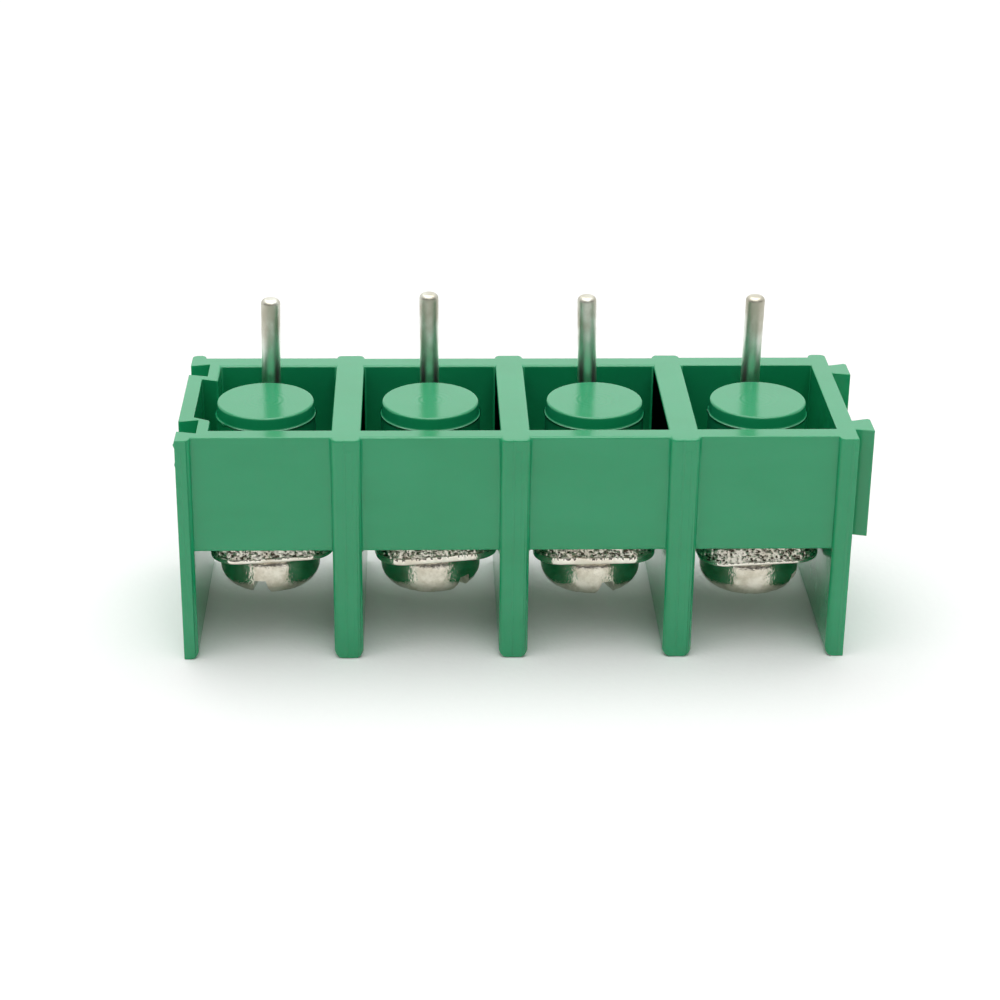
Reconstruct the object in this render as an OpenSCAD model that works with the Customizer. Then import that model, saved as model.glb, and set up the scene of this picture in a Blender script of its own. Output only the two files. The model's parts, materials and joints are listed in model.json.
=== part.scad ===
// Four-pole barrier terminal block for a printed circuit board, board side up.
// X runs along the row of poles, -Y is the wire side and +Y the solder pin side.
// The origin lies in the board seat plane, on the line of the solder pins and on the middle rib.
// The block stands on the tips of its barriers, as a moulded block lies before it is soldered in.

/* [Row] */
// Distance from one pole to the next
pitch = 8.5; // [8.4:0.1:9.5]
// Thickness of the barrier rib between two poles
rib_t = 1.5; // [1.3:0.1:1.6]
// Thickness of the end wall that carries the grooves
groove_end_t = 0.75; // [0.75:0.05:0.9]
// Thickness of the end wall that carries the tabs
tab_end_t = 0.95; // [0.7:0.05:1.5]

/* [Housing] */
// Height from the barrier tips to the board seat
body_h = 12.3; // [12.2:0.1:14]
// Depth over the front and rear faces of the ribs
body_d = 11.65; // [11.6:0.05:13]
// Height of the front and rear walls, down from the board seat
wall_h = 6.35; // [6.2:0.05:6.8]
// Thickness of the front wall
front_wall_t = 0.95; // [0.7:0.05:1.1]
// Thickness of the rear wall
rear_wall_t = 1.15; // [0.9:0.05:1.15]
// How far the ribs stand proud of the front and rear walls
rib_proud = 0.4; // [0.2:0.05:0.5]
// Thickness of the deck that closes the cells
deck_t = 1.0; // [0.95:0.05:1.3]
// Height of the deck's underside above the lower edges of the walls
deck_recess = 0.4; // [0.2:0.05:0.6]
// Rounding down the front and rear edges of the ribs
rib_round = 0.3; // [0.1:0.05:0.35]
// Rounding along the barrier tips
tip_round = 0.45; // [0.2:0.05:0.6]
// Rounding along the lower edges of the walls
wall_round = 0.25; // [0.1:0.05:0.35]

/* [Screw bosses] */
// Diameter of a boss at the board seat
boss_d = 5.0; // [4.8:0.1:5.1]
// How much wider a boss is below its top step, on the diameter
boss_step = 0.12; // [0.02:0.01:0.12]
// Height of the boss's top step
boss_step_h = 0.7; // [0.3:0.1:1.5]
// Thickness of plastic over the blind hole
boss_cap_t = 1.2; // [0.8:0.1:1.4]
// Clearance round the screw in the boss's blind hole, on the diameter
boss_hole_gap = 0.3; // [0.1:0.05:0.5]

/* [Ganging tabs and grooves] */
// Width of a tab at its root
tab_w = 1.1; // [0.8:0.05:1.2]
// How far each side of a tab flares out to its tip
tab_flare = 0.25; // [0.15:0.05:0.3]
// How far a tab stands out of its end wall
tab_out = 0.96; // [0.8:0.02:1]
// Distance from the front faces of the ribs to the front side of the front tab
tab_from_front = 1.32; // [1:0.02:1.4]
// Distance from the rear faces of the ribs to the front side of the rear tab
tab_from_rear = 2.68; // [2.5:0.02:2.8]
// Clearance between a tab and each side of its groove
tab_clear = 0.07; // [0.04:0.01:0.1]
// Clearance between a tab and the groove's floor and end
tab_end_gap = 0.05; // [0.03:0.01:0.15]
// Thickness of the wall behind a groove
groove_back_t = 0.6; // [0.5:0.05:0.9]

/* [Terminal plates] */
// Thickness of the brass plate
plate_t = 0.8; // [0.6:0.05:0.9]
// Clearance between the plate and each rib
plate_gap = 0.05; // [0.02:0.01:0.15]
// Gap between the plate's front edge and the front wall
plate_front_gap = 1.05; // [0.1:0.05:1.5]
// Gap between the plate's rear edge and the rear wall
plate_rear_gap = 0.25; // [0.05:0.05:0.4]
// Outer diameter of the tapped collar drawn up from the plate
collar_d = 4.2; // [3.8:0.1:4.4]
// Gap between the end of the collar and the boss over it
collar_end_gap = 0.1; // [0.05:0.05:0.4]
// Clearance round the collar in the deck, on the diameter
collar_gap = 0.2; // [0.1:0.05:0.3]

/* [Solder pins] */
// Diameter of a solder pin
pin_d = 1.0; // [0.8:0.05:1.1]
// Distance from the line of the solder pins to the rear faces of the ribs
pin_to_rear = 2.65; // [2.6:0.05:2.8]
// Distance from a pin to the axis of its screw
pin_to_screw = 3.7; // [3.65:0.05:3.75]
// Height of each pin's tip above the board seat
pin_tip_h = [4.2, 4.5, 4.35, 4.35]; // [3:0.05:6]
// Lean of each pin along the row, towards +X
pin_lean = [1.08, -0.28, -1.54, 0.75]; // [-1.6:0.01:1.6]
// Rounding at a pin's tip
pin_round = 0.27; // [0.1:0.01:0.35]
// Diameter of the shoulder that seats on the plate and fills the deck
shoulder_d = 1.8; // [1.5:0.1:1.8]
// Clearance round the shoulder in the deck, on the diameter
shoulder_gap = 0.1; // [0.06:0.02:0.2]
// Diameter of the swaged end on the plate's wiring face
rivet_d = 1.4; // [1.3:0.05:1.5]
// Clearance round the pin in the plate, on the diameter
rivet_gap = 0.02; // [0.01:0.01:0.04]

/* [Wire clamps] */
// Gap between the square clamp plate and each rib when it stands straight
clamp_side_gap = 0.3; // [0.2:0.05:0.5]
// Corner radius of the clamp plate
clamp_corner = 1.4; // [1:0.1:1.8]
// Thickness of the clamp plate
clamp_t = 1.0; // [0.8:0.1:1.1]
// Clearance between the clamp plate and the screw's neck, on the diameter
clamp_hole_gap = 0.3; // [0.1:0.05:0.4]
// Gap that each clamp was left open by, from the wiring face
open_gap = [0.04, 0.11, 0.22, 0.31]; // [0.02:0.01:0.5]
// Turn of each clamp plate against its ribs, as a share of its free turn
turn_share = [0.77, 0.98, 0.2, 0.6]; // [0:0.01:1]

/* [Screws] */
// Diameter of the thread
thread_d = 3.0; // [2.9:0.1:3]
// Clearance round the thread in the tapped collar, on the diameter
thread_gap = 0.04; // [0.02:0.01:0.08]
// Length of the screw under its head
screw_l = 6.0; // [5:0.1:6.3]
// How much thinner the neck that the clamp plate turns on is than the thread, on the diameter
neck_relief = 0.5; // [0.4:0.1:0.8]
// Length of neck left over above the clamp plate
neck_spare = 0.15; // [0.1:0.05:0.3]
// Diameter of the pan head
head_d = 5.25; // [4.8:0.05:5.6]
// Height of the pan head
head_h = 2.35; // [2.1:0.05:2.4]
// Rounding round the head's edge
head_round = 1.0; // [0.6:0.05:1.2]
// Rise of the head's crown over its flat width
head_crown = 0.1; // [0.06:0.01:0.2]
// Running gap between the head and the clamp plate
head_gap = 0.02; // [0.01:0.01:0.05]
// Width of the driver slot at its mouth
slot_mouth = 1.05; // [0.8:0.05:1.2]
// Width of the driver slot at its floor
slot_floor = 0.58; // [0.4:0.02:0.7]
// Depth of the driver slot
slot_depth = 1.0; // [0.7:0.05:1.2]
// Span of the cross recess over its wings
cross_span = 2.8; // [2.4:0.1:3.2]
// Width of the cross recess's wings
cross_w = 0.8; // [0.6:0.05:0.9]
// Depth of the cross recess
cross_depth = 1.45; // [1.25:0.05:1.7]
// Direction of each slot, from the wire side towards +X
slot_dir = [-9, 43, 17, 61]; // [-90:1:90]

/* [Hidden] */
$fn = 64;

poles = 4;
bay = pitch - rib_t;
row_half = poles * pitch / 2 - rib_t / 2;   // from the middle rib to the inner face of an end wall
groove_end_x = -row_half - groove_end_t;    // outer face of the end with grooves
tab_end_x = row_half + tab_end_t;           // outer face of the end with tabs
body_l = tab_end_x - groove_end_x;

rib_rear = pin_to_rear;
rib_front = rib_rear - body_d;
front_outer = rib_front + rib_proud;
front_inner = front_outer + front_wall_t;
rear_outer = rib_rear - rib_proud;
rear_inner = rear_outer - rear_wall_t;
screw_y = -pin_to_screw;

feet_z = -body_h;
wall_low = -wall_h;
deck_under = wall_low + deck_recess;
deck_top = deck_under + deck_t;
wiring_z = deck_under - plate_t;

// Dovetail tabs sit flush with the rim and stop just short of the terminal plates
tab_ys = [rib_front + tab_from_front, rib_rear - tab_from_rear];
groove_h = -deck_under;
tab_h = groove_h - tab_end_gap;
tab_tip_chamfer = 0.12;
groove_d = tab_out + tab_end_gap;
front_back_reach = 0.45;   // reach of the front backing wall behind its groove
front_back_slant = 0.5;    // how far its free end draws back towards its inner face
rear_back_reach = 0.65;    // reach of the rear backing wall in front of its groove
rear_back_slant = 0.35;    // how much further its inner face reaches

plate_l = rear_inner - front_inner - plate_front_gap - plate_rear_gap;
collar_h = deck_t - collar_end_gap;
shoulder_h = deck_t;
rivet_flare = (rivet_d - pin_d) / 2;
pin_foot = shoulder_h / 2;   // height in the shoulder at which the shank starts to lean

// A clamp plate turns until its rounded corners touch the ribs, less a hair
clamp_w = bay - 2 * clamp_side_gap;
corner_reach = clamp_w / 2 - clamp_corner;
touch_gap = 0.015;
free_turn = asin(min(1, (bay / 2 - touch_gap - clamp_corner) / corner_reach / sqrt(2))) - 45;

neck_d = thread_d - neck_relief;
neck_l = clamp_t + head_gap + neck_spare;
thread_chamfer = 0.35;
crown_r = (pow(head_d / 2 - head_round, 2) + pow(head_crown, 2)) / (2 * head_crown);
cross_foot = 0.4;    // width of the cross at its floor, as a share of its span

bite = 0.1;          // how far one solid reaches into another that it is part of
past = 1;            // how far a cut reaches past the face that it opens

function pole_x(i) = (i - (poles - 1) / 2) * pitch;
// Height of the head's seat: under the clamp plate, which hangs open_gap below the wiring face
function head_seat(i) = wiring_z - open_gap[i] - clamp_t - head_gap;

// ---- Housing -------------------------------------------------------------------------------

// A barrier, or an end wall with one square corner, as a section across the row
module barrier_section(width, round_left, round_right) {
    left = round_left ? tip_round : 0;
    right = round_right ? tip_round : 0;
    intersection() {
        translate([0, feet_z]) square([width, body_h]);
        union() {
            translate([0, feet_z + tip_round]) square([width, body_h - tip_round]);
            translate([left, feet_z]) square([width - left - right, body_h]);
            if (round_left)
                translate([tip_round, feet_z + tip_round]) circle(tip_round);
            if (round_right)
                translate([width - tip_round, feet_z + tip_round]) circle(tip_round);
        }
    }
}

// Outline of a barrier from above, its corners rounded but for an end wall's outer front corner
module barrier_plan(width, round_left, round_right) {
    translate([rib_round, 0]) square([width - 2 * rib_round, body_d]);
    translate([0, rib_round]) square([width, body_d - 2 * rib_round]);
    for (x = [rib_round, width - rib_round], y = [rib_round, body_d - rib_round])
        translate([x, y]) circle(rib_round);
    if (!round_left) square(2 * rib_round);
    if (!round_right) translate([width - 2 * rib_round, 0]) square(2 * rib_round);
}

module barrier(x, width, round_left = true, round_right = true)
    translate([x, 0, 0]) intersection() {
        translate([0, rib_rear, 0]) rotate([90, 0, 0])
            linear_extrude(body_d) barrier_section(width, round_left, round_right);
        translate([0, rib_front, feet_z - past])
            linear_extrude(body_h + 2 * past) barrier_plan(width, round_left, round_right);
    }

// A long wall of the cells, its lower edge rounded on both sides
module cell_wall(y, thickness)
    translate([groove_end_x + bite, y, 0]) rotate([90, 0, 90])
        linear_extrude(body_l - 2 * bite) {
            translate([0, wall_low + wall_round]) square([thickness, wall_h - wall_round]);
            translate([wall_round, wall_low]) square([thickness - 2 * wall_round, wall_h]);
            for (edge = [wall_round, thickness - wall_round])
                translate([edge, wall_low + wall_round]) circle(wall_round);
        }

module deck()
    translate([groove_end_x + bite, front_inner - bite, deck_under])
        cube([body_l - 2 * bite, rear_inner - front_inner + 2 * bite, deck_t]);

module boss(i)
    translate([pole_x(i), screw_y, deck_top - bite]) {
        cylinder(h = bite - deck_top, d = boss_d);
        cylinder(h = bite - deck_top - boss_step_h, d = boss_d + boss_step);
    }

// The bore for the collar through the deck, and the blind hole for the screw above it
module boss_bore(i)
    translate([pole_x(i), screw_y, 0]) {
        translate([0, 0, deck_under - past])
            cylinder(h = past + deck_t, d = collar_d + collar_gap);
        translate([0, 0, deck_under])
            cylinder(h = -deck_under - boss_cap_t, d = thread_d + boss_hole_gap);
    }

module shoulder_bore(i)
    translate([pole_x(i), 0, deck_under - past])
        cylinder(h = deck_t + 2 * past, d = shoulder_d + shoulder_gap);

// Outline of a tab from above: both sides flare to the tip, and its rear corner is broken
module tab_outline()
    polygon([[-bite, 0], [0, 0], [tab_out, -tab_flare],
             [tab_out, tab_w + tab_flare - tab_tip_chamfer],
             [tab_out - tab_tip_chamfer, tab_w + tab_flare],
             [0, tab_w], [-bite, tab_w]]);

module tab(y)
    translate([tab_end_x, y, -tab_h]) linear_extrude(tab_h) tab_outline();

// The groove that a neighbour's tab slides down, with clearance on both sides and at the floor
module groove(y)
    translate([groove_end_x, y, -groove_h]) linear_extrude(groove_h + past)
        polygon([[-past, -tab_clear], [0, -tab_clear],
                 [groove_d, -tab_flare - tab_clear],
                 [groove_d, tab_w + tab_flare + tab_clear],
                 [0, tab_w + tab_clear], [-past, tab_w + tab_clear]]);

// The wall that backs a groove inside the cell: y0 and y1 are its ends at the end wall,
// and the slants move the ends of its inner face towards +Y
module groove_back(y0, y1, slant0, slant1) {
    face_x = groove_end_x + groove_d + groove_back_t;
    translate([0, 0, deck_top - bite]) linear_extrude(bite - deck_top)
        polygon([[-row_half - bite, y0], [face_x, y0 + slant0],
                 [face_x, y1 + slant1], [-row_half - bite, y1]]);
}

module housing()
    color([0.24, 0.58, 0.41]) difference() {
        union() {
            for (k = [1 : poles - 1])
                barrier((k - poles / 2) * pitch - rib_t / 2, rib_t);
            barrier(groove_end_x, groove_end_t, round_left = false);
            barrier(row_half, tab_end_t, round_right = false);
            cell_wall(front_outer, front_wall_t);
            cell_wall(rear_inner, rear_wall_t);
            deck();
            for (i = [0 : poles - 1]) boss(i);
            for (y = tab_ys) tab(y);
            groove_back(front_inner - bite, tab_ys[0] + tab_w + tab_flare + front_back_reach,
                        0, -front_back_slant);
            groove_back(tab_ys[1] - rear_back_reach, rear_inner + bite, -rear_back_slant, 0);
        }
        for (i = [0 : poles - 1]) {
            boss_bore(i);
            shoulder_bore(i);
        }
        for (y = tab_ys) groove(y);
    }

// ---- Metal parts ---------------------------------------------------------------------------

// Flat brass plate under the deck, with its tapped collar drawn up round the screw
module terminal_plate(i)
    color([0.78, 0.76, 0.68]) translate([pole_x(i), 0, wiring_z]) difference() {
        union() {
            translate([plate_gap - bay / 2, front_inner + plate_front_gap, 0])
                cube([bay - 2 * plate_gap, plate_l, plate_t]);
            translate([0, screw_y, 0]) cylinder(h = plate_t + collar_h, d = collar_d);
        }
        translate([0, screw_y, -past])
            cylinder(h = plate_t + collar_h + 2 * past, d = thread_d + thread_gap);
        translate([0, 0, -past]) cylinder(h = plate_t + 2 * past, d = pin_d + rivet_gap);
        cylinder(h = rivet_flare, d1 = rivet_d + rivet_gap, d2 = pin_d + rivet_gap);
    }

// Half section of a pin's shank, its tip rounded down to a small flat
module pin_section(reach)
    intersection() {
        square([pin_d / 2, reach]);
        union() {
            square([pin_d / 2, reach - pin_round]);
            square([pin_d / 2 - pin_round, reach]);
            translate([pin_d / 2 - pin_round, reach - pin_round]) circle(pin_round);
        }
    }

// Round pin with a shoulder on the plate and a swaged end in the plate's countersink
module solder_pin(i) {
    reach = (pin_tip_h[i] - deck_under - pin_foot) / cos(pin_lean[i]);
    color([0.80, 0.79, 0.74]) translate([pole_x(i), 0, deck_under]) {
        rotate_extrude() {
            translate([0, -plate_t]) square([pin_d / 2, plate_t + shoulder_h]);
            polygon([[0, -plate_t], [rivet_d / 2, -plate_t],
                     [pin_d / 2, rivet_flare - plate_t], [0, rivet_flare - plate_t]]);
            square([shoulder_d / 2, shoulder_h]);
        }
        translate([0, 0, pin_foot]) rotate([0, pin_lean[i], 0])
            rotate_extrude() pin_section(reach);
    }
}

// Square clamp plate with round corners, loose on the screw's neck
module clamp_plate(i)
    color([0.82, 0.82, 0.80])
        translate([pole_x(i), screw_y, wiring_z - open_gap[i] - clamp_t])
        rotate([0, 0, turn_share[i] * free_turn])
        linear_extrude(clamp_t) difference() {
            union() {
                square([clamp_w, 2 * corner_reach], center = true);
                square([2 * corner_reach, clamp_w], center = true);
                for (x = [-corner_reach, corner_reach], y = [-corner_reach, corner_reach])
                    translate([x, y]) circle(clamp_corner);
            }
            circle(d = neck_d + clamp_hole_gap);
        }

// Half section of the screw: crowned pan head down, neck and threaded shank up
module screw_section() {
    rim = head_d / 2;
    intersection() {
        union() {
            translate([0, head_round - head_h]) square([rim, head_h - head_round]);
            translate([0, -head_h]) square([rim - head_round, head_h]);
            translate([rim - head_round, head_round - head_h]) circle(head_round);
        }
        translate([0, crown_r - head_h]) circle(crown_r, $fn = 256);
        square([2 * rim, 4 * head_h], center = true);
    }
    square([neck_d / 2, screw_l - bite]);
    thread_r = thread_d / 2;
    lead = (thread_d - neck_d) / 2;
    polygon([[0, neck_l], [neck_d / 2, neck_l], [thread_r, neck_l + lead],
             [thread_r, screw_l - thread_chamfer], [thread_r - thread_chamfer, screw_l],
             [0, screw_l]]);
}

// Driver slot across the whole head, narrower at its floor
module driver_slot()
    translate([-head_d, 0, -head_h]) rotate([90, 0, 90]) linear_extrude(2 * head_d)
        polygon([[-slot_floor / 2, slot_depth], [slot_floor / 2, slot_depth],
                 [slot_mouth / 2, 0], [slot_mouth / 2, -past],
                 [-slot_mouth / 2, -past], [-slot_mouth / 2, 0]]);

// One pair of wings of the cross recess, tapering to its floor
module cross_wings()
    translate([0, cross_w / 2, -head_h]) rotate([90, 0, 0]) linear_extrude(cross_w)
        polygon([[-cross_span / 2, -past], [cross_span / 2, -past], [cross_span / 2, 0],
                 [cross_foot * cross_span / 2, cross_depth],
                 [-cross_foot * cross_span / 2, cross_depth], [-cross_span / 2, 0]]);

module screw(i)
    color([0.85, 0.85, 0.83])
        translate([pole_x(i), screw_y, head_seat(i)]) rotate([0, 0, slot_dir[i] - 90])
        difference() {
            rotate_extrude() screw_section();
            driver_slot();
            cross_wings();
            rotate([0, 0, 90]) cross_wings();
        }

housing();
for (i = [0 : poles - 1]) {
    terminal_plate(i);
    solder_pin(i);
    clamp_plate(i);
    screw(i);
}
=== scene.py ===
# %% [markdown]
# # Dressing a barrier terminal block
#
# The block is a four-pole screw terminal for a circuit board. It stands upside down on the tips of
# its barriers, so its solder pins point up and its clamp screws hang under it. The solids come from
# the construction model and are at their real size. This file gives every piece the form and the
# finish that a close look shows: soft moulded edges, a rolled thread, a sheared plate edge, and
# plastic and nickel that answer to light as the real ones do.

# %% Load the frame
import json
import math

import bmesh
import bpy
import numpy as np
from mathutils import Matrix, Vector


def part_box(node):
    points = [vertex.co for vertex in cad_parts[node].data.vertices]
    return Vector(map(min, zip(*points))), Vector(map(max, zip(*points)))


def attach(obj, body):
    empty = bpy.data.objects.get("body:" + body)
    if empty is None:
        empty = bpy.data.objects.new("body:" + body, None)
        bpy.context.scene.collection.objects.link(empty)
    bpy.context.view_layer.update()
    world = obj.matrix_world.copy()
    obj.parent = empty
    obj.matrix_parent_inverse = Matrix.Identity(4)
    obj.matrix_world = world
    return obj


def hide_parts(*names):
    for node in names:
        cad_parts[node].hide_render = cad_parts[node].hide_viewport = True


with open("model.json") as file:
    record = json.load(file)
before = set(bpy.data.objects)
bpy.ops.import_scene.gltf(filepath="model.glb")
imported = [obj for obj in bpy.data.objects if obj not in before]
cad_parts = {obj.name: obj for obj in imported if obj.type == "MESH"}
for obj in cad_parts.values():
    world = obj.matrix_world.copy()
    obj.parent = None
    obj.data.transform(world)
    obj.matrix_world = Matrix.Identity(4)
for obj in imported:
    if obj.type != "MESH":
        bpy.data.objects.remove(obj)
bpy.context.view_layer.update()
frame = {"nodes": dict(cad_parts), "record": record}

MM = 0.001                   # the construction is in millimetres, Blender works in metres
POLES = (1, 2, 3, 4)


def box_mm(node):
    """Lowest and highest corner of a node, in millimetres."""
    return tuple(np.array(corner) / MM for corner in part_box(node))


HOUSING_LOW, HOUSING_HIGH = box_mm("housing")
SEAT_Z = HOUSING_HIGH[2]     # the plane that the circuit board lies on
FEET_Z = HOUSING_LOW[2]      # the plane that the barrier tips stand on
FRONT_Y = HOUSING_LOW[1]     # the front faces of the barriers, on the wire side
print("housing, mm:", HOUSING_LOW.round(2), HOUSING_HIGH.round(2))

# %% [markdown]
# ## Where the poles are
#
# Each pole repeats along X. A screw is round, so the middle of its box is the axis that it turns
# on, and the distance from one screw to the next is the pitch of the row.

# %% Read the places of the poles from the frame
def pole_axis(pole):
    """X and Y of the axis of a pole's screw."""
    low, high = box_mm(f"screw_{pole}")
    return (low[:2] + high[:2]) / 2


AXES = {pole: pole_axis(pole) for pole in POLES}
PITCH = float(AXES[2][0] - AXES[1][0])
SCREW_Y = float(AXES[1][1])
print("pitch", round(PITCH, 3), "screw axis y", round(SCREW_Y, 3))

# %% [markdown]
# ## Surfaces from arrays
#
# A surface here is a grid of points worked out by a formula in two parameters. The faces of a grid
# are always the same pattern, so one helper numbers them for every piece. Closing the grid in one
# direction joins its last column to its first, which makes a tube.

# %% Grid helpers
def grid_faces(rows, columns, close_rows=False, close_columns=False, start=0):
    """Quads of a rows x columns grid of points numbered row by row from `start`.
    Quad (i, j) joins points (i, j), (i, j+1), (i+1, j+1) and (i+1, j)."""
    i = np.arange(rows if close_rows else rows - 1)[:, None]
    j = np.arange(columns if close_columns else columns - 1)[None, :]
    below, beside = (i + 1) % rows, (j + 1) % columns
    quads = np.stack([i * columns + j, i * columns + beside,
                      below * columns + beside, below * columns + j], axis=-1)
    return (quads.reshape(-1, 4) + start).tolist()


def fan_faces(rim, centre):
    """Triangles from each edge of a closed rim of point numbers to one centre point."""
    rim = list(rim)
    return [(a, b, centre) for a, b in zip(rim, rim[1:] + rim[:1])]


def make_piece(name, points, faces, smooth_angle=35, **marks):
    """Mesh object from points in mm and faces. Edges sharper than smooth_angle degrees stay
    crisp, and the rest shade as one curved skin. Each mark is one number for every point,
    which a material can read by the mark's name."""
    mesh = bpy.data.meshes.new(name)
    mesh.from_pydata((np.asarray(points) * MM).tolist(), [], faces)
    for mark, values in marks.items():
        layer = mesh.attributes.new(mark, "FLOAT", "POINT")
        layer.data.foreach_set("value", np.asarray(values, np.float32).ravel())
    mesh.shade_smooth()
    mesh.set_sharp_from_angle(angle=math.radians(smooth_angle))
    piece = bpy.data.objects.new(name, mesh)
    bpy.context.scene.collection.objects.link(piece)
    return piece


def settle(piece, body, slot, material, *nodes):
    """Gives a piece its finish, lets it ride on its body and stand for its CAD nodes."""
    piece.data.materials.clear()
    piece.data.materials.append(material)
    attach(piece, body)
    if nodes:
        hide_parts(*nodes)

# %% [markdown]
# A turned or moulded part rarely has a dead sharp corner. `rounded` takes the corners of a half
# section and swaps each for an arc that touches both of its sides: the arc starts and ends at
# distance r / tan(half the corner's angle) from the corner.

# %% Rounded profiles and surfaces of revolution
def rounded(corners, steps=5):
    """Polyline from corners (x, z, radius), each corner with a radius replaced by a tangent arc."""
    corners = [np.array(c, float) for c in corners]
    line = [corners[0][:2]]
    for before, corner, after in zip(corners, corners[1:], corners[2:]):
        at, radius = corner[:2], corner[2]
        back, ahead = before[:2] - at, after[:2] - at
        back, ahead = back / np.hypot(*back), ahead / np.hypot(*ahead)
        half = math.acos(np.clip(back @ ahead, -1, 1)) / 2
        if radius <= 0 or half > math.radians(89):
            line.append(at)
            continue
        bisector = (back + ahead) / np.hypot(*(back + ahead))
        centre = at + bisector * radius / math.sin(half)
        first = at + back * radius / math.tan(half)
        last = at + ahead * radius / math.tan(half)
        turn = np.linspace(0, 1, steps + 1)[:, None]
        arc = first * (1 - turn) + last * turn - centre
        line.extend(centre + arc * radius / np.hypot(arc[:, 0], arc[:, 1])[:, None])
    line.append(corners[-1][:2])
    return np.array(line)


def full_turn(count):
    """`count` equal steps round a circle, without repeating the first."""
    return np.linspace(0, 2 * np.pi, count, endpoint=False)


def revolve(profile, angles, start=0):
    """Closed solid of revolution: point (r, z) of the profile goes to (r cos a, r sin a, z).
    The profile runs from the axis to the axis, and each end on the axis becomes one point."""
    ring = np.asarray(profile[1:-1])
    radius, height = ring[:, 0, None], ring[:, 1, None]
    points = np.stack([radius * np.cos(angles), radius * np.sin(angles),
                       height + 0 * angles], axis=-1).reshape(-1, 3)
    rows, columns = len(ring), len(angles)
    first, last = start + np.arange(columns), start + (rows - 1) * columns + np.arange(columns)
    ends = [[0, 0, profile[0][1]], [0, 0, profile[-1][1]]]
    centre = start + rows * columns
    faces = [f[::-1] for f in grid_faces(rows, columns, close_columns=True, start=start)]
    faces += fan_faces(first, centre) + fan_faces(last[::-1], centre + 1)
    return np.vstack([points, ends]), faces

# %% [markdown]
# ## Shader maths as expressions
#
# Blender's material nodes are easiest to follow when they read like the formula that they work
# out. `Wire` wraps the output of a node. Adding or multiplying two wires adds the Math node that
# does it, and numbers may stand on either side of the sign.

# %% The Wire class
class Wire:
    """An output socket. Arithmetic on it adds Math nodes to its graph."""

    def __init__(self, graph, socket):
        self.graph = graph
        self.socket = socket

    def math(self, operation, *values, **settings):
        return self.graph.node("ShaderNodeMath", {"operation": operation, **settings},
                               dict(enumerate(values)))

    def __add__(self, other): return self.math("ADD", self, other)
    def __radd__(self, other): return self.math("ADD", other, self)
    def __sub__(self, other): return self.math("SUBTRACT", self, other)
    def __rsub__(self, other): return self.math("SUBTRACT", other, self)
    def __mul__(self, other): return self.math("MULTIPLY", self, other)
    def __rmul__(self, other): return self.math("MULTIPLY", other, self)
    def __truediv__(self, other): return self.math("DIVIDE", self, other)
    def __abs__(self): return self.math("ABSOLUTE", self)

    def sine(self): return self.math("SINE", self)
    def fract(self): return self.math("FRACT", self)
    def root(self): return self.math("SQRT", self)
    def either(self, other): return self.math("ADD", self, other, use_clamp=True)

    def rise(self, low, high):
        """0 below low, 1 above high, and a smooth rise 3t^2 - 2t^3 between them."""
        return self.graph.node(
            "ShaderNodeMapRange", {"interpolation_type": "SMOOTHSTEP"},
            {"Value": self, "From Min": low, "From Max": high})

    def near(self, place, half_width, soft):
        """1 within half_width of place, falling to 0 over `soft` beyond it."""
        return 1.0 - abs(self - place).rise(half_width, half_width + soft)

# %% [markdown]
# A `Graph` is a tree of nodes. `node` is the one door to every node: it sets the node's own
# settings first, then its sockets, each with a value or with a wire. A `Finish` is a material
# built that way, on coordinates in millimetres. Only what changes over the surface is wired, and
# every constant is written on its socket.

# %% The Graph and Finish classes
def seen(red, green, blue):
    """A colour as a paint card gives it, 0 to 255, turned to the linear values of light:
    c / 12.92 for the darkest, ((c + 0.055) / 1.055)^2.4 for the rest."""
    c = np.array([red, green, blue]) / 255
    linear = np.where(c <= 0.04045, c / 12.92, ((c + 0.055) / 1.055) ** 2.4)
    return (*linear.tolist(), 1.0)


class Graph:
    """A node tree, emptied and then filled through `node`."""

    def __init__(self, tree):
        self.tree = tree
        tree.nodes.clear()

    def node(self, kind, settings=None, sockets=None, output=0):
        made = self.tree.nodes.new(kind)
        for key, value in (settings or {}).items():
            setattr(made, key, value)
        for key, value in (sockets or {}).items():
            if isinstance(value, Wire):
                self.tree.links.new(value.socket, made.inputs[key])
            else:
                made.inputs[key].default_value = value
        return Wire(self, made.outputs[output]) if len(made.outputs) else None


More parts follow.
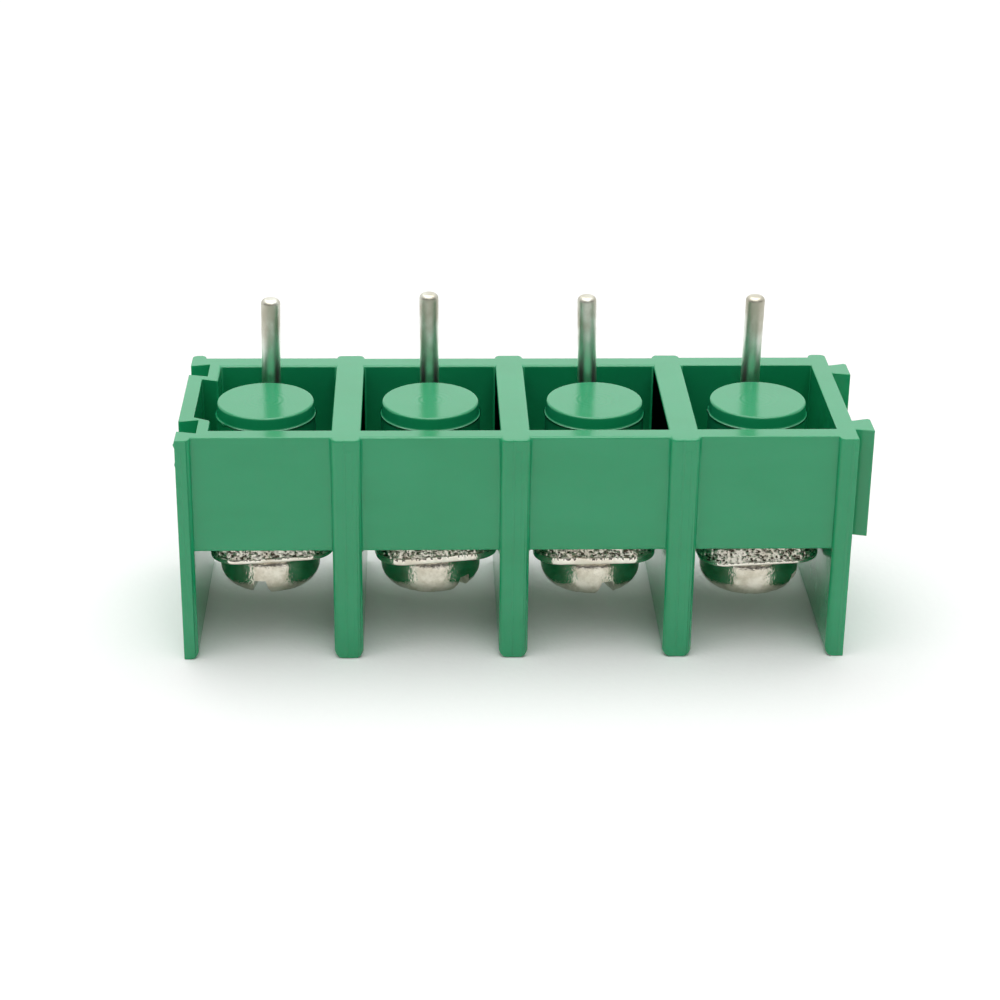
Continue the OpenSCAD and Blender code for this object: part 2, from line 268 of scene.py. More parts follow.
class Finish(Graph):
    """A material built from nodes, on coordinates in millimetres."""

    def __init__(self, name):
        self.material = bpy.data.materials.new(name)
        self.material.use_nodes = True
        super().__init__(self.material.node_tree)

    def place(self):
        """Position on the object, in millimetres."""
        spot = self.node("ShaderNodeTexCoord", output="Object")
        return self.node("ShaderNodeVectorMath", {"operation": "SCALE"},
                         {0: spot, "Scale": 1 / MM})

    def mark(self, name):
        """A number that the piece's mesh carries under this name."""
        return self.node("ShaderNodeAttribute", {"attribute_name": name}, output="Fac")

    def split(self, vector):
        """The x, y and z of a vector, as three wires."""
        apart = self.node("ShaderNodeSeparateXYZ", sockets={0: vector}).socket.node
        return tuple(Wire(self, socket) for socket in apart.outputs)

    def stretched(self, vector, x, y, z):
        """A vector with its parts multiplied, which squeezes or draws out a pattern on it."""
        return self.node("ShaderNodeVectorMath", {"operation": "MULTIPLY"},
                         {0: vector, 1: (x, y, z)})

    def noise(self, vector, size, detail=2.0, roughness=0.5):
        """Soft noise from 0 to 1 about 0.5, whose blobs are about `size` mm across."""
        return self.node("ShaderNodeTexNoise", {"noise_dimensions": "3D"},
                         {"Vector": vector, "Scale": 1 / size, "Detail": detail,
                          "Roughness": roughness})

    def blend(self, amount, first, second):
        """The colour `first` where amount is 0 and `second` where it is 1."""
        return self.node("ShaderNodeMix", {"data_type": "RGBA"},
                         {0: amount, 6: first, 7: second}, output=2)

    def relief(self, height, depth):
        """A normal bumped by a height from 0 to 1 that stands for `depth` mm."""
        return self.node("ShaderNodeBump", sockets={"Height": height, "Distance": depth * MM})

    def surface(self, **sockets):
        """Ends the tree in one Principled shader, its sockets named with underscores."""
        named = {key.replace("_", " "): value for key, value in sockets.items()}
        shader = self.node("ShaderNodeBsdfPrincipled", sockets=named)
        self.node("ShaderNodeOutputMaterial", sockets={"Surface": shader})
        return self.material

# %% [markdown]
# ## Green moulded plastic
#
# The housing is one shot of thermoplastic. Its colour is even with slight flow clouds, its skin
# is glossy enough to mirror the metal at a flat angle, and light goes a little way into it, which
# is why its thin edges glow. Three marks of the mould are drawn as relief. The boss tops keep the
# rings of the turned ejector faces, so that pattern is a function of the distance from the
# nearest screw axis. The fronts of the ribs carry the parting line and the narrow sunk strip
# beside it.

# %% Finish of the housing
def bay_offset(x):
    """Distance along X from the nearest screw axis."""
    return (x / PITCH).fract() * PITCH - PITCH / 2


def rib_offset(x):
    """Distance along X from the nearest rib."""
    return (x / PITCH + 0.5).fract() * PITCH - PITCH / 2


def ejector_rings(x, y, z):
    """Fine rings about each screw axis, on the boss tops only, fading outwards."""
    along, across = bay_offset(x), y - SCREW_Y
    radius = (along * along + across * across).root()
    on_top = z.rise(SEAT_Z - 0.05, SEAT_Z - 0.01) * (1.0 - radius.rise(0.8, 1.6))
    return (radius * 21.0).sine() * on_top


def parting_marks(x, y, z):
    """A fine ridge down each rib's front and a sunk strip to its right, from 0.6 mm down."""
    across = rib_offset(x)
    on_front = 1.0 - y.rise(FRONT_Y + 0.04, FRONT_Y + 0.1)
    ridge = across.near(-0.1, 0.02, 0.05)
    strip = across.near(0.14, 0.14, 0.04) * (1.0 - z.rise(SEAT_Z - 0.7, SEAT_Z - 0.6))
    return (ridge - strip) * on_front


def plastic_finish():
    f = Finish("moulded_green_plastic")
    place = f.place()
    x, y, z = f.split(place)
    cloud = f.noise(f.stretched(place, 0.6, 1.0, 1.6), 4.0, detail=3.0)
    grain = f.noise(place, 0.16, detail=3.0)
    ripple = f.noise(place, 1.7, detail=1.0)
    colour = f.blend(cloud.rise(0.3, 0.7), seen(22, 152, 98), seen(28, 156, 103))
    height = (grain * 0.25 + ripple * 0.9 + ejector_rings(x, y, z) * 0.16
              + parting_marks(x, y, z) * 1.2)
    return f.surface(Base_Color=colour, Roughness=0.11 + cloud * 0.06 + grain * 0.06, IOR=1.57,
                     Subsurface_Weight=0.15, Subsurface_Radius=(0.4, 1.0, 0.6),
                     Subsurface_Scale=0.4 * MM, Normal=f.relief(height, 0.012))


plastic = plastic_finish()

# %% [markdown]
# ## The housing
#
# The construction solid already has every wall, rib and boss. What it lacks is the small radius
# that a mould leaves on each edge, which is what catches the light. A copy of the mesh is merged
# into one skin, its flat faces are joined again, and a bevel rounds every edge that bends more than
# 30 degrees. Each edge carries a weight, so the small dovetails at the ends keep tighter edges.

# %% A softened copy of a solid
SHARP_FROM = 30              # bend in degrees past which an edge is rounded


def softened(node, name, radius, segments=3, tight_from=math.inf, tight=1.0):
    """Copy of a CAD node with its sharp edges rounded by `radius` mm, and by only `tight` times
    that on edges that reach past `tight_from` mm from the middle."""
    mesh = frame["nodes"][node].data.copy()
    skin = bmesh.new()
    skin.from_mesh(mesh)
    bmesh.ops.remove_doubles(skin, verts=skin.verts, dist=0.001 * MM)
    bmesh.ops.dissolve_limit(skin, angle_limit=math.radians(0.5), verts=skin.verts,
                             edges=skin.edges, delimit={"NORMAL"})
    bend = np.degrees([edge.calc_face_angle(0.0) for edge in skin.edges])
    reach = np.array([max(abs(v.co.x) for v in edge.verts) for edge in skin.edges]) / MM
    skin.to_mesh(mesh)
    skin.free()
    mesh.shade_smooth()
    room = np.where(reach > tight_from, tight, 1.0)
    layer = mesh.attributes.new("bevel_weight_edge", "FLOAT", "EDGE")
    layer.data.foreach_set("value", np.where(bend > SHARP_FROM, room, 0).astype(np.float32))
    piece = bpy.data.objects.new(name, mesh)
    bpy.context.scene.collection.objects.link(piece)
    bevel = piece.modifiers.new("soft_edges", "BEVEL")
    bevel.width = radius * MM
    bevel.segments = segments
    bevel.limit_method = "WEIGHT"
    bevel.use_clamp_overlap = False
    weighted = piece.modifiers.new("flat_faces_stay_flat", "WEIGHTED_NORMAL")
    weighted.keep_sharp = True
    print(name, len(mesh.vertices), "points before its bevel")
    return piece


EDGE_ROUND = 0.12            # radius that the mould leaves on an edge
ENDS_FROM = 15.9             # distance from the middle where the dovetails begin
ENDS_SHARE = 0.4             # share of EDGE_ROUND that is left there

moulding = softened("housing", "moulded_housing", EDGE_ROUND,
                    tight_from=ENDS_FROM, tight=ENDS_SHARE)
settle(moulding, "housing", "housing_plastic", plastic, "housing")

# %% [markdown]
# Where the mould's halves close on the outer corner, a sliver of flash is left: a thin fin on the
# front edge of the grooved end, with one torn bump near the seat and a smaller one below it. It is
# a prism of three points a row, whose outer point stands out by a sum of two bell curves.

# %% The sliver of flash
def make_flash():
    z = SEAT_Z - np.linspace(0.05, 2.2, 60)
    bumps = ((0.07, 0.30, 0.12), (0.04, 1.36, 0.10))
    stand = 0.008 + sum(h * np.exp(-((SEAT_Z - z - at) / w) ** 2) for h, at, w in bumps)
    rows = np.stack([
        np.stack([HOUSING_LOW[0] + 0.06 + 0 * z, FRONT_Y + 0.30 + 0 * z, z], axis=-1),
        np.stack([HOUSING_LOW[0] - stand, FRONT_Y + 0.16 + 0 * z, z], axis=-1),
        np.stack([HOUSING_LOW[0] + 0.06 + 0 * z, FRONT_Y + 0.05 + 0 * z, z], axis=-1)], axis=1)
    count = len(z)
    faces = [f[::-1] for f in grid_faces(count, 3, close_columns=True)]
    faces += [(0, 1, 2), (3 * count - 1, 3 * count - 2, 3 * count - 3)]
    flash = make_piece("mould_flash", rows.reshape(-1, 3), faces)
    settle(flash, "housing", "housing_plastic", plastic)


make_flash()

# %% [markdown]
# ## Tinned and nickelled metal
#
# All the metal is mirror bright at heart. What tells one piece from another is how its surface was
# made: a pin is drawn, so its marks run along it; a screw head is forged and barrel plated, so it
# has soft pits and a mottled shine; a plate is rolled on its faces and torn on its sheared edge.

# %% Finishes of the pins and screws
def pin_finish():
    f = Finish("drawn_tinned_wire")
    place = f.place()
    x, y, z = f.split(place)
    draw_lines = f.noise(f.stretched(place, 12.0, 12.0, 0.5), 1.0, detail=2.0)
    stain = f.noise(f.stretched(place, 1.0, 1.0, 0.6), 0.8, detail=4.0)
    # painted reflection: `rise` turns the tin darker and beige towards the tip, standing for the
    # darker room that the upper pin mirrors
    rise = z.rise(SEAT_Z + 1.5, SEAT_Z + 4.0)
    colour = f.blend((stain + rise * 0.3).rise(0.4, 0.9), seen(232, 236, 228), seen(186, 182, 166))
    return f.surface(Base_Color=colour, Metallic=1.0, Roughness=0.26 + stain * 0.14 + rise * 0.08,
                     Normal=f.relief(draw_lines * 0.5 + stain, 0.005))


def screw_finish():
    f = Finish("barrel_nickelled_steel")
    place = f.place()
    mottle = f.noise(place, 0.55, detail=4.0, roughness=0.6)
    pits = f.noise(place, 0.12, detail=2.0)
    colour = f.blend(mottle.rise(0.35, 0.7), seen(226, 220, 206), seen(196, 188, 170))
    return f.surface(Base_Color=colour, Metallic=1.0, Roughness=0.1 + mottle * 0.16,
                     Normal=f.relief(pits * 0.35 + mottle, 0.05))


tinned = pin_finish()
nickel = screw_finish()

# %% [markdown]
# ## Solder pins
#
# Each pin is a short length of round wire with a shoulder, staked in its terminal plate. The shank
# leans a little, as handled parts do. The mount in the record says where the pin's axis meets the
# board seat and which way it points, so the shank is a straight surface of revolution laid along
# that axis: a point (r, a, t) goes to seat + t * axis + r * (cos a * side + sin a * front).

# %% Sizes of the pins
MOUNTS = {mount["name"]: mount for mount in frame["record"]["mounts"]}
PIN_LOW = box_mm("solder_pin_1")[0][2]       # the swaged end, flush with the wiring face
PLATE_T = 0.8                                # the terminal plate that the pin is staked in
SHOULDER_R, SHOULDER_H = 0.9, 1.0
RIVET_R = 0.7
TIP_ROUND = 0.27
SHANK_SINK = 0.4             # how far the shank runs down into the shoulder
PIN_STEPS = 48               # steps round a pin

# %% Build the pins
def laid_along(points, seat, axis):
    """Points about the z axis, moved so that z runs along `axis` from the point `seat`."""
    side = np.cross([0.0, 1.0, 0.0], axis)
    side /= np.linalg.norm(side)
    front = np.cross(axis, side)
    return seat + points[:, :1] * side + points[:, 1:2] * front + points[:, 2:] * axis


def make_pin(pole):
    """The leaning shank runs down into the upright shoulder, which ends in the swaged foot."""
    mount = MOUNTS[f"solder_pin_{pole}"]
    seat, axis = np.array(mount["pos_m"]) / MM, np.array(mount["axis"])
    radius = mount["dims"]["r_mm"]
    plate_top = PIN_LOW + PLATE_T
    shoulder_top = plate_top + SHOULDER_H
    tip = box_mm(f"solder_pin_{pole}")[1][2] / axis[2]
    foot = shoulder_top - SHANK_SINK
    shank = rounded([(0, tip, 0), (radius, tip, TIP_ROUND), (radius, foot, 0), (0, foot, 0)],
                    steps=7)
    lower = rounded([(0, shoulder_top, 0), (SHOULDER_R, shoulder_top, 0.08),
                     (SHOULDER_R, plate_top, 0.04), (radius, plate_top, 0),
                     (radius, PIN_LOW + 0.2, 0), (RIVET_R, PIN_LOW, 0.03), (0, PIN_LOW, 0)])
    upper_points, upper_faces = revolve(shank, full_turn(PIN_STEPS))
    lower_points, lower_faces = revolve(lower, full_turn(PIN_STEPS),
                                        start=len(upper_points))
    points = np.vstack([laid_along(upper_points, seat, axis),
                        lower_points + [AXES[pole][0], 0.0, 0.0]])
    piece = make_piece(f"pin_{pole}", points, upper_faces + lower_faces)
    settle(piece, "housing", "tinned_pin", tinned, f"solder_pin_{pole}")


for pole in POLES:
    make_pin(pole)

# %% [markdown]
# ## Screws
#
# The screw is one closed skin made of two grids that share an edge. The face of the head is a
# height over a disc: a crowned dome, cut down by a driver slot and a cross recess. The disc is
# covered by lines that run along the slot, packed tightly where the walls of the slot and of the
# cross stand, so that the steep walls come out straight. From the rim of the disc the skin goes on
# as rings up the side of the head, in to the neck and along the thread.

# %% Sizes of the screw
HEAD_R = 2.625
HEAD_H = 2.35
EDGE_R = 1.0                 # rounding round the head
SEAT_EDGE_R = 0.62           # rounding of the head where it meets the clamp plate
CROWN = 0.1                  # rise of the crown
SLOT_MOUTH, SLOT_FLOOR, SLOT_DEPTH = 1.05, 0.58, 1.0
CROSS_SPAN, CROSS_W, CROSS_DEPTH = 2.8, 0.8, 1.45
CROSS_FOOT = 0.4             # width of the cross at its floor, as a share of its span
WALL_SLOPE = 0.02            # how far a wall of the cross leans, each way
NECK_R = 1.25
NECK_L = 1.17
THREAD_R, THREAD_ROOT = 1.5, 1.19
THREAD_PITCH = 0.5
SHANK_L = 6.0
SLOT_TURN = {1: -9, 2: 43, 3: 17, 4: 61}     # degrees from the wire side towards +X
CROWN_R = ((HEAD_R - EDGE_R) ** 2 + CROWN ** 2) / (2 * CROWN)

# %% Depth of the head's face below its crown
def ramp(value, low, high):
    """0 at or below low, 1 at or above high, straight between."""
    return np.clip((value - low) / (high - low), 0, 1)


def dome_depth(r):
    """Depth of the uncut head at radius r: the crown's sphere on the flat part,
    R - sqrt(R^2 - r^2), and the edge's arc, e - sqrt(e^2 - (r - r0)^2), past it."""
    crown = CROWN_R - np.sqrt(CROWN_R ** 2 - np.minimum(r, HEAD_R) ** 2)
    past = np.clip(r - (HEAD_R - EDGE_R), 0, EDGE_R)
    edge = EDGE_R - np.sqrt(np.maximum(EDGE_R ** 2 - past ** 2, 0))
    return np.maximum(crown, edge)


def trapezoid(across, mouth, floor, depth):
    """Depth of a groove: `depth` within the floor's width, nothing outside the mouth's."""
    return depth * (1 - ramp(np.abs(across), floor / 2, mouth / 2))


def cut_depth(u, v):
    """Depth cut below the crown: the slot along u, and the two pairs of wings of the cross,
    each a wall of the wing's width times a slope that runs from its tip down to its foot."""
    slot = trapezoid(v, SLOT_MOUTH, SLOT_FLOOR, SLOT_DEPTH)
    wings = [trapezoid(along, CROSS_SPAN, CROSS_SPAN * CROSS_FOOT, CROSS_DEPTH)
             * (1 - ramp(np.abs(across), CROSS_W / 2 - WALL_SLOPE, CROSS_W / 2 + WALL_SLOPE))
             for along, across in ((u, v), (v, u))]
    return np.maximum(slot, np.maximum(*wings))

# %% [markdown]
# Rows of the disc lie at v = R sin t, so that they crowd towards the ends where the edge's arc
# turns down, and lines are added at every wall. Along a row, u is laid out evenly over the middle
# part that holds the cross, and then eased to the rim as a sine.

# %% Points of the head's face
RECESS_REACH = 1.6           # half the width of the even part of a row
OUTER_STEPS = 10             # steps from there to the rim


def spread(marks, end, between):
    """Values from -end to end that hit every mark, with `between` steps from mark to mark."""
    marks = np.array(sorted({-end, end, *marks, *(-m for m in marks)}))
    steps = [np.linspace(a, b, between, endpoint=False) for a, b in zip(marks, marks[1:])]
    return np.concatenate([*steps, [end]])


def head_face():
    """Grid of points (u, v, depth), one row for each v."""
    wing = (CROSS_W / 2 - WALL_SLOPE, CROSS_W / 2 + WALL_SLOPE)
    wing_ends = (CROSS_SPAN * CROSS_FOOT / 2, CROSS_SPAN / 2)
    inner = spread((SLOT_FLOOR / 2, SLOT_MOUTH / 2, *wing, *wing_ends), RECESS_REACH, 2)
    steps = np.linspace(0, 1, OUTER_STEPS + 1)[1:-1]
    start = math.asin(RECESS_REACH / HEAD_R)
    outer = HEAD_R * np.sin(start + steps * (math.pi / 2 - start))
    v = np.concatenate([-outer[::-1], inner, outer])[:, None]

    even = spread((*wing, *wing_ends), RECESS_REACH, 2) / RECESS_REACH
    past = 1 + np.linspace(0, 1, OUTER_STEPS)[1:]
    share = np.concatenate([-past[::-1], even, past])
    rim = np.sqrt(HEAD_R ** 2 - v ** 2)
    reach = np.minimum(RECESS_REACH, 0.75 * rim)
    begin = np.arcsin(reach / rim)
    eased = rim * np.sin(begin + np.clip(np.abs(share) - 1, 0, 1) * (np.pi / 2 - begin))
    u = np.where(np.abs(share) <= 1, share * reach, np.sign(share) * eased)
    v = v + 0 * u
    radius = np.minimum(np.hypot(u, v), HEAD_R)
    return np.stack([u, v, np.maximum(dome_depth(radius), cut_depth(u, v))], axis=-1)

# %% [markdown]
# The thread is rolled: its crests stand proud of the bar that it was made from, and its roots are
# below. One turn of the angle moves the wave by one pitch, which makes the helix.

# %% Radius along the shank
def thread_radius(length, angle):
    """Radius of the thread, `length` along the shank at `angle`: a triangle wave of one
    pitch a turn, its crests and roots cut off flat, faded in at the neck and out at the tip."""
    wave = np.abs((length / THREAD_PITCH - angle / (2 * np.pi)) % 1.0 * 2 - 1)
    ridge = np.clip((wave - 0.125) / 0.75, 0, 1)
    fade = ramp(length, NECK_L, NECK_L + 0.45) * (1 - ramp(length, SHANK_L - 0.6, SHANK_L))
    core = THREAD_ROOT + (NECK_R - THREAD_ROOT) * (1 - ramp(length, NECK_L, NECK_L + 0.3))
    return core + (THREAD_R - core) * ridge * fade


def outer_rim(rows, columns):
    """Point numbers round the border of a rows x columns grid, once round."""
    top, bottom = np.arange(columns), (rows - 1) * columns + np.arange(columns)
    left = np.arange(1, rows - 1) * columns
    return np.concatenate([top, left + columns - 1, bottom[::-1], left[::-1]])


def screw_skin():
    """The closed skin in the screw's own frame: the crown at z = 0, the tip at the highest z."""
    face = head_face()
    rows, columns = face.shape[:2]
    points = face.reshape(-1, 3)
    rim = outer_rim(rows, columns)
    angle = np.arctan2(points[rim, 1], points[rim, 0])
    side = rounded([(HEAD_R, EDGE_R, 0), (HEAD_R, HEAD_H, SEAT_EDGE_R), (NECK_R, HEAD_H, 0.06),
                    (NECK_R, HEAD_H + NECK_L, 0)], steps=4)[1:]
    length = np.linspace(NECK_L, SHANK_L, 110)[1:, None]
    radius = np.vstack([side[:, :1] + 0 * angle, thread_radius(length, angle)])
    height = np.vstack([side[:, 1:] + 0 * angle, HEAD_H + length + 0 * angle])
    skirt = np.stack([radius * np.cos(angle), radius * np.sin(angle), height], axis=-1)
    count, start = len(rim), len(points)
    numbers = start + np.arange(count)
    faces = [f[::-1] for f in grid_faces(rows, columns)]
    faces += np.stack([rim, np.roll(rim, -1), np.roll(numbers, -1), numbers], axis=-1).tolist()
    faces += grid_faces(len(radius), count, close_columns=True, start=start)
    faces += fan_faces(numbers + (len(radius) - 1) * count, start + radius.size)
    return np.vstack([points, skirt.reshape(-1, 3), [[0, 0, HEAD_H + SHANK_L]]]), faces

# %% [markdown]
# A piece that is round about a pole's axis is built about the origin, then turned and stood in its
# place. The turn and the place go into the mesh, so that the object itself stays unmoved.

# %% Stand the screws in their places
def stood_at(points, degrees, pole, low_z):
    """Points turned about z by `degrees`, then moved to the pole's axis and up to low_z."""
    turn = math.radians(degrees)
    x, y, z = np.asarray(points).T
    return np.stack([x * math.cos(turn) - y * math.sin(turn) + AXES[pole][0],
                     x * math.sin(turn) + y * math.cos(turn) + AXES[pole][1], z + low_z], axis=-1)


screw_points, screw_faces = screw_skin()
for pole in POLES:
    placed = stood_at(screw_points, SLOT_TURN[pole] - 90, pole, box_mm(f"screw_{pole}")[0][2])
    piece = make_piece(f"clamp_screw_{pole}", placed, screw_faces, smooth_angle=40)
    settle(piece, f"screw_{pole}", "nickel_screw", nickel, f"screw_{pole}")
print("screw skin:", len(screw_points), "points")

# %% [markdown]
# ## Clamp plates
#
# A clamp plate is blanked from nickelled strip. The punch rolls one edge over and burnishes the
# first part of the cut, and then the metal tears, so the rest of the edge is a coarse grey
# fracture. The skin is a grid that closes both ways, like a ring: one parameter runs round the
# outline, the other round the plate's cross-section. The torn rows are pushed in and out by
# seeded noise, so the roughness is real geometry, and a mark tells the finish where the tear is.

# %% Outline of a plate
RIB_T = 1.5
CLAMP_SIDE_GAP = 0.3
CLAMP_HALF = (PITCH - RIB_T) / 2 - CLAMP_SIDE_GAP
CLAMP_CORNER = 1.4
CLAMP_HOLE_R = 1.4
CLAMP_T = 1.0
AROUND = 560


def plate_turn(pole):
    """Degrees that a plate is turned about its screw. With k the half side less the corner
    radius c, its box is 2 (k sqrt(2) sin(45 + turn) + c) wide."""
    low, high = box_mm(f"clamp_plate_{pole}")
    k = CLAMP_HALF - CLAMP_CORNER
    reach = ((high[0] - low[0]) / 2 - CLAMP_CORNER) / (k * math.sqrt(2))
    return math.degrees(math.asin(min(1.0, reach))) - 45


def plate_outline():
    """Evenly spaced points and outward normals round a square with round corners."""
    straight, arc = 2 * (CLAMP_HALF - CLAMP_CORNER), CLAMP_CORNER * np.pi / 2
    quarter, along = np.divmod(np.linspace(0, 4 * (straight + arc), AROUND, endpoint=False),
                               straight + arc)
    bend = np.clip((along - straight) / CLAMP_CORNER, 0, np.pi / 2)
    x = CLAMP_HALF - CLAMP_CORNER + CLAMP_CORNER * np.cos(bend)
    y = np.minimum(along, straight) - straight / 2 + CLAMP_CORNER * np.sin(bend)
    c, s = np.cos(quarter * np.pi / 2), np.sin(quarter * np.pi / 2)
    heading = quarter * np.pi / 2 + bend
    return (np.stack([x * c - y * s, x * s + y * c], axis=-1),
            np.stack([np.cos(heading), np.sin(heading)], axis=-1))


def wavy(dice, cells):
    """A smooth closed line of noise about 0: random heights at `cells` places round the
    outline, joined by half waves of a cosine."""
    heights = dice.uniform(-1, 1, cells)
    at = np.arange(AROUND) / AROUND * cells
    left = at.astype(int)
    ease = (1 - np.cos((at % 1.0) * np.pi)) / 2
    return heights[left % cells] * (1 - ease) + heights[(left + 1) % cells] * ease

# %% The skin of a plate
BURNISH = {1: 0.2, 2: 0.36, 3: 0.38, 4: 0.17}     # height of the bright band, by pole
TEAR_ROWS = 12
TEAR_LUMPS = 190             # places round the outline where the tear swells or sinks
TEAR_DEPTH = 0.055


def sheared_edge(dice, burnish):
    """Rows (inset, height, torn) up the outer edge: the rolled corner, the bright band that is
    `burnish` high with its wavy upper border, then the torn rows."""
    flat = np.zeros(AROUND)
    border = burnish + 0.03 * wavy(dice, 60) + 0.025 * wavy(dice, 11)
    rows = [(flat + inset, flat + height, flat) for inset, height in
            ((0.09, 0.0), (0.045, 0.008), (0.015, 0.03), (0.0, 0.08))]
    rows.append((flat, border, flat))
    for share in (np.arange(TEAR_ROWS) + 0.5) / TEAR_ROWS:
        lumps = wavy(dice, TEAR_LUMPS) * 1.1 + 0.3 * dice.uniform(-1, 1, AROUND)
        lumps = np.clip(lumps, -1, 1)
        inset = TEAR_DEPTH * (0.75 + lumps)
        height = border + (CLAMP_T - 0.03 - border) * share + 0.015 * dice.uniform(-1, 1, AROUND)
        rows.append((inset, height, 0.5 + 0.5 * lumps))
    rows.append((flat + 0.05, flat + CLAMP_T - 0.01, flat + 0.5))
    rows.append((flat + 0.12, flat + CLAMP_T, flat))
    return rows


def plate_skin(dice, burnish):
    """Grid (row of the cross-section, place round the outline) of one plate about its axis,
    underside at z = 0. Rows go up the outer edge, in over the top, down the hole and out again."""
    points, normals = plate_outline()
    rows = sheared_edge(dice, burnish)
    outer = np.array([np.column_stack([points - normals * inset[:, None], height])
                      for inset, height, torn in rows])
    direction = points / np.linalg.norm(points, axis=1)[:, None]
    hole = np.array([np.column_stack([direction * (CLAMP_HOLE_R + inset),
                                      np.full(AROUND, height)])
                     for inset, height in ((0.1, CLAMP_T), (0.03, CLAMP_T - 0.03),
                                           (0, CLAMP_T - 0.12), (0, 0.12), (0.03, 0.03),
                                           (0.1, 0.0))])
    share = np.linspace(0, 1, 6)[1:-1, None, None]
    over = outer[-1] * (1 - share) + hole[0] * share
    under = hole[-1] * (1 - share) + outer[0] * share
    grid = np.concatenate([outer, over, hole, under])
    torn = np.zeros(grid.shape[:2])
    torn[:len(rows)] = [row[2] for row in rows]
    return grid, torn

# %% [markdown]
# The torn metal is dull. Its colour follows the mark that the mesh carries: it is painted dark in
# the pits, partly the raw steel of the tear and partly painted shade where the tear sinks deepest,
# and it stays bright on the peaks. Roughness follows the same mark, and both are broken up by a
# noise finer than the mesh.

# %% Finish of the plates, and the plates
def plate_finish():
    f = Finish("blanked_nickel_strip")
    place = f.place()
    torn = f.mark("torn")
    mottle = f.noise(place, 1.1, detail=3.0)
    grain = f.noise(place, 0.07, detail=2.0)
    bright = f.blend(mottle.rise(0.35, 0.7), seen(240, 234, 222), seen(222, 212, 196))
    # painted shade: the colour goes dark brown where the tear sinks deepest, mixed with the dull
    # raw steel of the tear
    pit_shade = (torn * (0.6 + grain * 0.8)).rise(0.5, 0.85)
    colour = f.blend(pit_shade, bright, seen(70, 62, 50))
    on_tear = torn.rise(0.0, 0.1)
    height = mottle * 0.8 + grain * (0.3 + on_tear * 2.5)
    return f.surface(Base_Color=colour, Metallic=1.0,
                     Roughness=0.12 + mottle * 0.12 + on_tear * 0.12,
                     Normal=f.relief(height, 0.012))


def make_clamp(pole, material):
    grid, torn = plate_skin(np.random.default_rng(40 + pole), BURNISH[pole])
    turn = plate_turn(pole)
    placed = stood_at(grid.reshape(-1, 3), turn, pole, box_mm(f"clamp_plate_{pole}")[0][2])
    faces = grid_faces(len(grid), AROUND, close_rows=True, close_columns=True)
    piece = make_piece(f"captive_plate_{pole}", placed, [f[::-1] for f in faces],
                       smooth_angle=60, torn=torn)
    print("clamp plate", pole, "turned", round(turn, 2), "degrees")
    settle(piece, f"clamp_{pole}", "nickel_plate", material, f"clamp_plate_{pole}")


sheared = plate_finish()
for pole in POLES:
    make_clamp(pole, sheared)

# %% [markdown]
# ## Terminal plates
#
# These brass plates lie flat under the deck and hardly show. Their form is right as it is, so each
# gets a slight break on its edges and a duller tin finish with the scratches of the strip.

# %% Terminal plates
def strip_finish():
    f = Finish("tinned_brass_strip")
    place = f.place()
    scratch = f.noise(f.stretched(place, 0.7, 9.0, 9.0), 1.0, detail=3.0)
    cloud = f.noise(place, 1.6, detail=2.0)
    colour = f.blend(cloud.rise(0.3, 0.7), seen(196, 189, 168), seen(172, 162, 140))
    return f.surface(Base_Color=colour, Metallic=1.0, Roughness=0.24 + cloud * 0.14,
                     Normal=f.relief(scratch, 0.006))


strip = strip_finish()
for pole in POLES:
    plate = softened(f"terminal_plate_{pole}", f"wiring_plate_{pole}", 0.04, segments=2)
    settle(plate, "housing", "plated_brass", strip, f"terminal_plate_{pole}")

# %% [markdown]
# ## Floor and room
#
# The block stands on a sheet of white card in a white room. The room shows plain white to the
# camera, and lights the object more gently, so that the card comes out white, shadows stay soft
# and colours come out as they are written. In reflections it is white too, apart from a painted
# dark end low on the wire side that only mirror rays see. Without something dark to mirror, bright
# metal would look like grey paint.

# %% The card and the room
FLOOR_HALF = 1500.0
ROOM_LIGHT = 0.24
DARK_END = 0.12              # how bright the low wire side of the room looks in a mirror


def lay_card():
    f = Finish("white_card")
    fibre = f.noise(f.place(), 0.35, detail=3.0)
    white = f.surface(Base_Color=(0.95, 0.95, 0.945, 1.0), Roughness=0.9,
                      Normal=f.relief(fibre, 0.03))
    corners = FLOOR_HALF * np.array([(-1, -1), (1, -1), (1, 1), (-1, 1)])
    card = make_piece("white_card", np.column_stack([corners, np.full(4, FEET_Z)]),
                      [(0, 1, 2, 3)])
    card.data.materials.append(white)


def light_room():
    """Strength 1 on camera, mirror and glass rays, and ROOM_LIGHT on the rest. Mirror rays that
    go low towards the wire side meet a painted dark end instead, a reflection no other ray sees."""
    world = bpy.data.worlds.new("white_room")
    world.use_nodes = True
    bpy.context.scene.world = world
    g = Graph(world.node_tree)

    def wall(strength):
        return g.node("ShaderNodeBackground",
                      sockets={"Color": (1.0, 1.0, 1.0, 1.0), "Strength": strength})

    to_camera = g.node("ShaderNodeLightPath", output="Is Camera Ray")
    shown = to_camera
    for ray in ("Is Glossy Ray", "Is Transmission Ray"):
        shown = shown.either(g.node("ShaderNodeLightPath", output=ray))
    towards = g.node("ShaderNodeSeparateXYZ", sockets={
        0: g.node("ShaderNodeTexCoord", output="Generated")}).socket.node
    behind = Wire(g, towards.outputs["Y"]).rise(-0.35, 0.25)
    above = Wire(g, towards.outputs["Z"]).rise(0.35, 0.75)
    bright_side = behind.either(above).either(to_camera)
    # painted reflection: mirror rays that go low towards the wire side see a dark world that lights
    # nothing
    mirrored = g.node("ShaderNodeMixShader",
                      sockets={0: bright_side, 1: wall(DARK_END), 2: wall(1.0)})
    mixed = g.node("ShaderNodeMixShader", sockets={0: shown, 1: wall(ROOM_LIGHT), 2: mirrored})
    g.node("ShaderNodeOutputWorld", sockets={"Surface": mixed})


lay_card()
light_room()

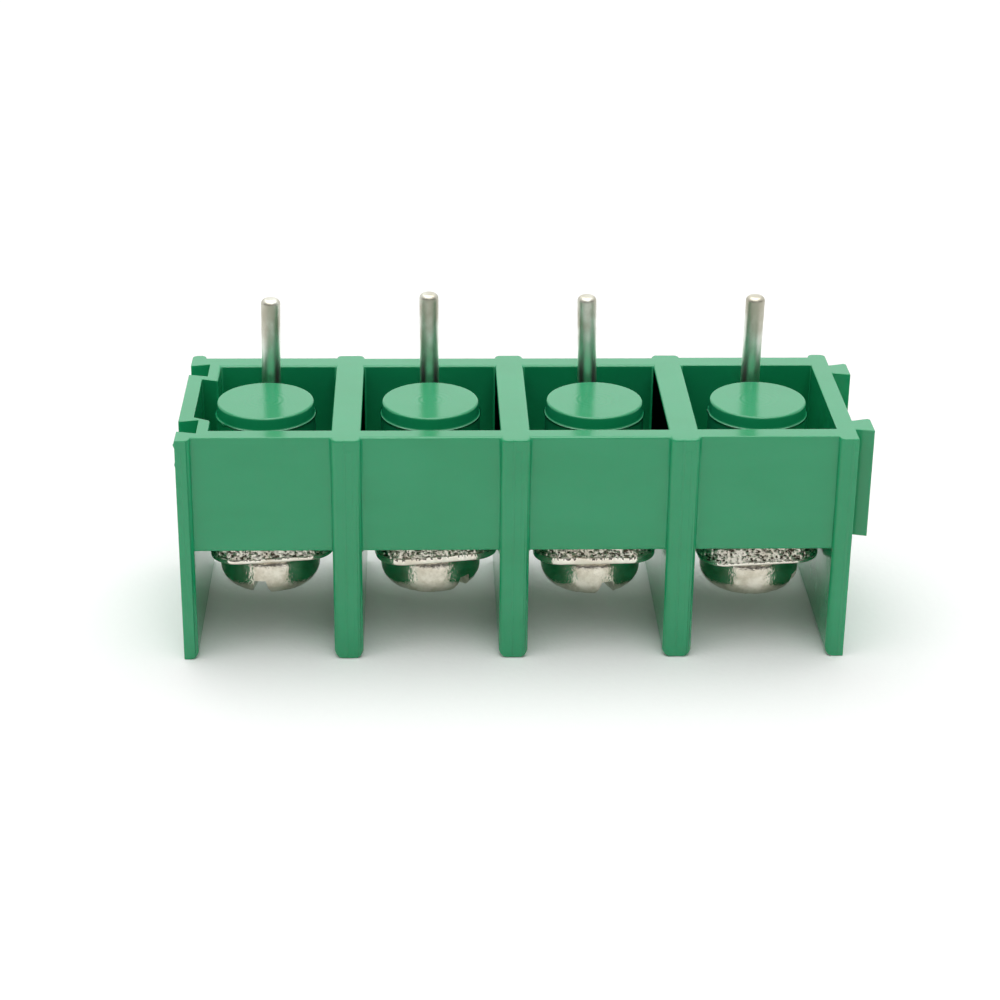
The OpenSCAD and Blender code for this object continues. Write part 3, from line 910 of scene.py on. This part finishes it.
# %% [markdown]
# Three soft boxes do the rest. The wide one overhead gives most of the light and draws the soft
# shadow under the block. The one in front lifts the panels a little, and the one behind gives the
# flat tops their sheen, because the camera sees it mirrored there.

# %% Soft boxes
def softbox(name, at, size, watts):
    """A square lamp of side `size` mm at `at` mm, turned to face the block."""
    lamp = bpy.data.lights.new(name, "AREA")
    lamp.shape = "SQUARE"
    lamp.size = size * MM
    lamp.energy = watts
    holder = bpy.data.objects.new(name, lamp)
    holder.location = np.array(at) * MM
    holder.rotation_euler = (-holder.location).to_track_quat("-Z", "Y").to_euler()
    holder.visible_camera = False
    bpy.context.scene.collection.objects.link(holder)


softbox("overhead_softbox", (-30, 10, 620), 850, 5.4)
softbox("front_softbox", (60, -500, 480), 300, 0.25)
softbox("rear_softbox", (26, 726, 334), 600, 0.42)

# %% [markdown]
# ## Camera
#
# The camera is a long lens a hand's breadth away, looking down at the row from the wire side. It is
# placed by its position and three turns: yaw about the vertical, pitch down, and a slight roll.

# %% Place the camera
CAMERA_AT = (-4.817, -119.93, 47.80)
YAW, DIP, ROLL = (math.radians(a) for a in (2.085, 24.709, 0.6645))
LENS = 87.39


def camera_matrix():
    """Columns are the camera's right, up and back, then its place."""
    ahead = np.array([math.sin(YAW) * math.cos(DIP), math.cos(YAW) * math.cos(DIP),
                      -math.sin(DIP)])
    level = np.array([math.cos(YAW), -math.sin(YAW), 0.0])
    upright = np.cross(level, ahead)
    matrix = np.eye(4)
    matrix[:3, 0] = level * math.cos(ROLL) + upright * math.sin(ROLL)
    matrix[:3, 1] = upright * math.cos(ROLL) - level * math.sin(ROLL)
    matrix[:3, 2] = -ahead
    matrix[:3, 3] = np.array(CAMERA_AT) * MM
    return Matrix(matrix.tolist())


lens = bpy.data.cameras.new("long_lens")
lens.lens = LENS
lens.sensor_width = 36.0
lens.clip_start = 0.01
camera = bpy.data.objects.new("camera", lens)
camera.matrix_world = camera_matrix()
bpy.context.scene.collection.objects.link(camera)
bpy.context.scene.camera = camera
bpy.context.scene.view_settings.view_transform = "Standard"
